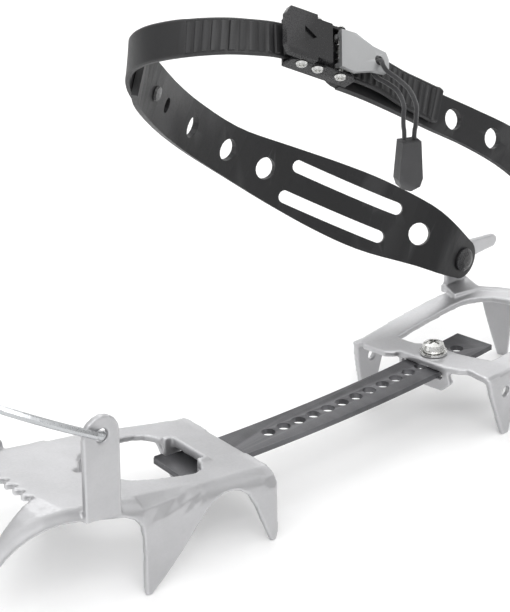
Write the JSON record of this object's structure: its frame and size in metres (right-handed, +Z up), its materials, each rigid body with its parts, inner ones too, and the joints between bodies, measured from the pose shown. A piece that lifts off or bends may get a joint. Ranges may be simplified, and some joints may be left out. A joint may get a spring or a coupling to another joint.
{
  "type": "strap-on crampon",
  "caption": "Strap-on crampon for one boot: steel toe and heel frames with points on a linking bar, a wire toe bail and an ankle strap with a ratchet buckle.",
  "frame": {"origin": "under the middle of the crampon's bounding box without its loose pull, at the level of the point tips", "axes": "+Z up from the ground towards the boot; -X towards the toe and +X towards the heel; -Y towards the outer side of a left foot, where the buckle is"},
  "size_m": [0.3798, 0.1473, 0.2307],
  "materials": {
    "frame_steel": "matte, bead-blasted, light grey",
    "wire_steel": "smooth drawn wire",
    "bar_steel": "dark grey satin coating, worn bright at the edges",
    "bright_zinc": "bright zinc plate",
    "black_strap": "moulded flexible plastic, fine satin",
    "black_plastic": "semi-gloss moulded",
    "grey_metal": "silver-grey satin coating",
    "pull_cord": "braided",
    "pull_tab": "dark grey matte"
  },
  "bodies": {
    "toe_frame": {"front_frame": "frame_steel"},
    "bar": {"linking_bar": "bar_steel"},
    "heel": {"heel_frame": "frame_steel", "adjuster_washer": "bright_zinc", "adjuster_screw": "bright_zinc", "adjuster_nut": "bright_zinc"},
    "bail": {"toe_bail": "wire_steel"},
    "ankle_strap": {"slotted_strap": "black_strap", "ladder_strap": "black_strap", "rear_strap": "black_strap", "inner_strap_rivet": "black_plastic", "outer_strap_rivet": "black_plastic", "strap_joint_rivet": "black_plastic", "buckle_base": "black_plastic", "guide_pin": "bright_zinc", "lever_pin": "bright_zinc", "release_pin": "bright_zinc", "buckle_rivet_1": "grey_metal", "buckle_rivet_2": "grey_metal", "lever_spring": "bright_zinc", "release_spring": "bright_zinc"},
    "lever": {"ratchet_lever": "black_plastic"},
    "pawl": {"drive_pawl": "grey_metal"},
    "release": {"release_lever": "grey_metal"},
    "pull": {"pull_cord": "pull_cord", "pull_tab": "pull_tab"}
  },
  "joints": [
    {"name": "bar_tilt", "type": "hinge", "parent": "toe_frame", "child": "bar", "pos_m": [-0.06964, -0.02003, 0.029], "axis": [0.0791, 0.9969, 0], "range_deg": [0, 8]},
    {"name": "heel_adjust", "type": "slide", "parent": "bar", "child": "heel", "axis": [0.9989, 0.0467, 0], "range_m": [-0.045, 0.009]},
    {"name": "toe_bail_hinge", "type": "hinge", "parent": "toe_frame", "child": "bail", "pos_m": [-0.14293, -0.01448, 0.079], "axis": [-0.1253, 0.9921, 0], "range_deg": [-15, 48]},
    {"name": "ankle_swing", "type": "hinge", "parent": "heel", "child": "ankle_strap", "pos_m": [0.15448, -0.01803, 0.0495], "axis": [-0.0692, 0.9976, 0], "range_deg": [-12, 35]},
    {"name": "lever_hinge", "type": "hinge", "parent": "ankle_strap", "child": "lever", "pos_m": [-0.01781, -0.04896, 0.21319], "axis": [0.4965, 0.5275, 0.6894], "range_deg": [0, 50], "stiffness_Nm_per_rad": 0.05, "springref_deg": -11.46},
    {"name": "pawl_hinge", "type": "hinge", "parent": "ankle_strap", "child": "pawl", "pos_m": [-0.02475, -0.04684, 0.21656], "axis": [0.4965, 0.5275, 0.6894], "range_deg": [-12, 0], "stiffness_Nm_per_rad": 0.02, "springref_deg": 11.46},
    {"name": "release_hinge", "type": "hinge", "parent": "ankle_strap", "child": "release", "pos_m": [-0.00784, -0.05201, 0.20833], "axis": [0.4965, 0.5275, 0.6894], "range_deg": [-25, 0], "stiffness_Nm_per_rad": 0.05, "springref_deg": 11.46},
    {"name": "pull_swing", "type": "hinge", "parent": "release", "child": "pull", "pos_m": [0.00704, -0.05933, 0.20322], "axis": [-0.8671, 0.2648, 0.4219], "range_deg": [0, 15]}
  ]
}
